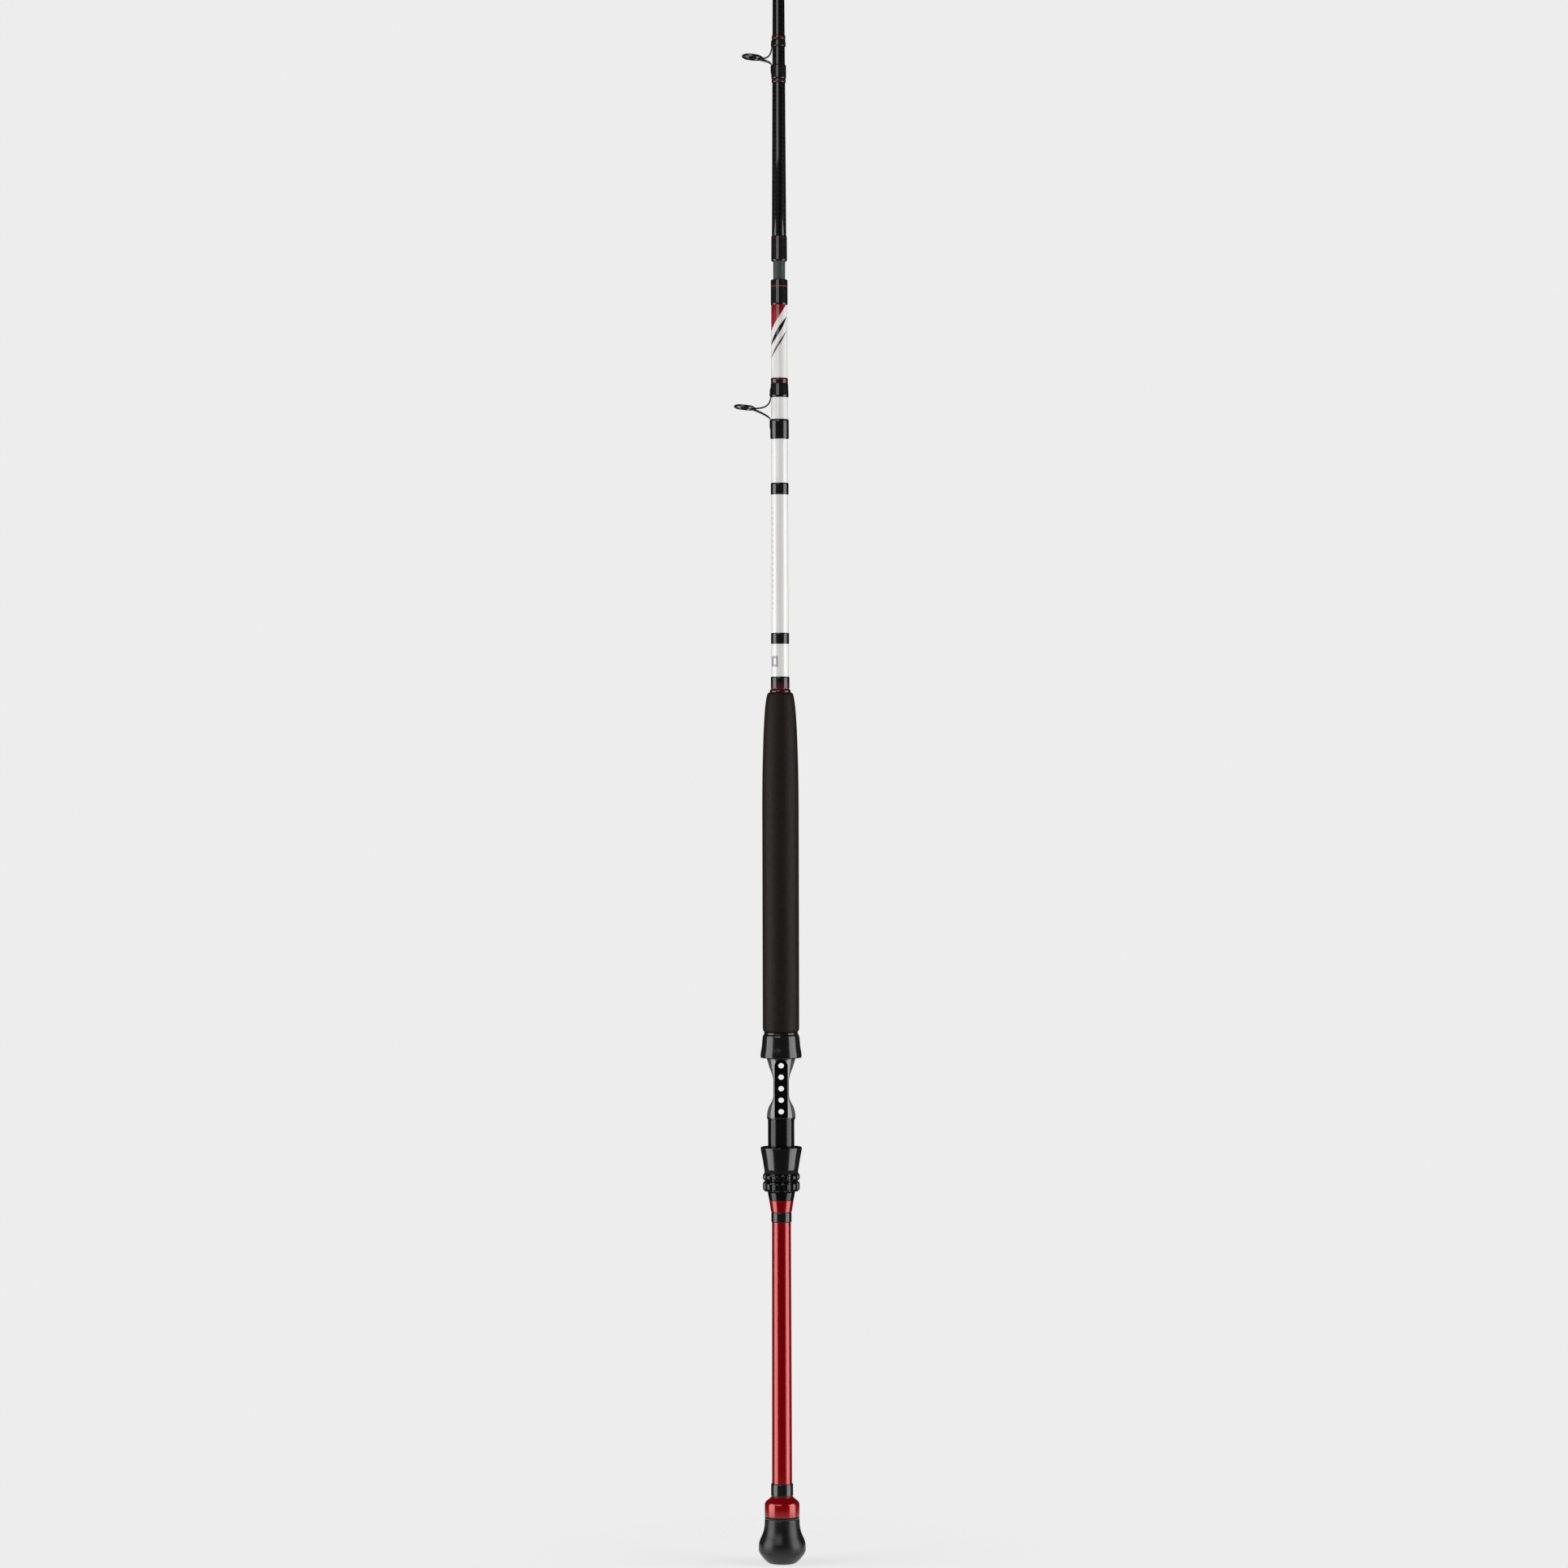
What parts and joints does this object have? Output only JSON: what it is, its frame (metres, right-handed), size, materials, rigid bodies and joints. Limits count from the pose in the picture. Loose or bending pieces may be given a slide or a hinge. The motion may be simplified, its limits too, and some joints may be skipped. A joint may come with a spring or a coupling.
{
  "type": "fishing rod",
  "caption": "Two-section boat fishing rod with a screw-hood reel seat, foam foregrip, rubber butt cap and ring line guides; no reel or line.",
  "frame": {"origin": "centre of the butt cap's flat end, where the rod stands", "axes": "+Z along the rod from butt to tip; line guides and reel foot on the -X side; symmetric about the XZ plane"},
  "size_m": [0.0612, 0.0418, 2.1299],
  "materials": {
    "red_metal": "gloss",
    "red_thread": "gloss",
    "black_wrap": "gloss",
    "guide_metal": "satin",
    "ring_ceramic": "gloss",
    "black_plastic": "gloss",
    "matte_black": "matte",
    "black_metal": "gloss",
    "foam": "matte",
    "red_plastic": "gloss",
    "white_blank": "gloss",
    "spigot_grey": "satin",
    "spring_steel": "satin",
    "cap_rubber": "satin",
    "black_blank": "gloss"
  },
  "bodies": {
    "butt_section": {"gimbal": "red_metal", "butt_tube": "red_metal", "butt_lower_wrap": "black_wrap", "butt_top_wrap": "black_wrap", "seat_tail_trim": "red_metal", "seat_tail_cone": "black_plastic", "reel_seat_body": "black_plastic", "seat_inlays": "matte_black", "fixed_hood": "black_metal", "fixed_hood_liner": "matte_black", "foregrip": "foam", "foregrip_check": "red_plastic", "foregrip_wrap": "black_wrap", "lower_blank": "white_blank", "decor_wrap_lower": "black_wrap", "decor_wrap_upper": "black_wrap", "guide_1_frame": "guide_metal", "guide_1_ring": "ring_ceramic", "guide_1_wraps": "black_wrap", "ferrule_wrap": "black_wrap", "ferrule_spigot": "spigot_grey", "guide_1_trim": "red_thread"},
    "moving_hood": {"moving_hood": "black_metal", "moving_hood_liner": "matte_black", "nut_retaining_ring": "spring_steel"},
    "hood_nut": {"hood_nut": "black_plastic"},
    "lock_nut": {"lock_nut": "black_plastic"},
    "butt_cap": {"butt_cap": "cap_rubber"},
    "tip_section": {"tip_blank": "black_blank", "tip_base_wrap": "black_wrap", "tip_guide_trims": "red_thread", "guide_2_frame": "guide_metal", "guide_2_ring": "ring_ceramic", "guide_2_wraps": "black_wrap", "guide_3_frame": "guide_metal", "guide_3_ring": "ring_ceramic", "guide_3_wraps": "black_wrap", "guide_4_frame": "guide_metal", "guide_4_ring": "ring_ceramic", "guide_4_wraps": "black_wrap", "guide_5_frame": "guide_metal", "guide_5_ring": "ring_ceramic", "guide_5_wraps": "black_wrap", "guide_6_frame": "guide_metal", "guide_6_ring": "ring_ceramic", "guide_6_wraps": "black_wrap", "tip_top_sleeve": "guide_metal", "tip_top_frame": "guide_metal", "tip_top_ring": "ring_ceramic", "tip_top_wrap": "black_wrap"}
  },
  "joints": [
    {"name": "hood_slide", "type": "slide", "parent": "butt_section", "child": "moving_hood", "axis": [0, 0, 1], "range_m": [0, 0.024]},
    {"name": "hood_nut_spin", "type": "hinge", "parent": "moving_hood", "child": "hood_nut", "pos_m": [0, 0, 0.342], "axis": [0, 0, 1], "range_deg": [0, 4321]},
    {"name": "lock_nut_spin", "type": "hinge", "parent": "moving_hood", "child": "lock_nut", "pos_m": [0, 0, 0.334], "axis": [0, 0, 1], "range_deg": [0, 4321]},
    {"name": "butt_cap_pull", "type": "slide", "parent": "butt_section", "child": "butt_cap", "axis": [0, 0, -1], "range_m": [0, 0.045]},
    {"name": "tip_pull", "type": "slide", "parent": "butt_section", "child": "tip_section", "axis": [0, 0, 1], "range_m": [0, 0.085]}
  ],
  "couplings": [
    {"joint": "hood_nut_spin", "follows": "hood_slide", "rad_per_m": 3141.6},
    {"joint": "lock_nut_spin", "follows": "hood_slide", "rad_per_m": 3141.6}
  ]
}
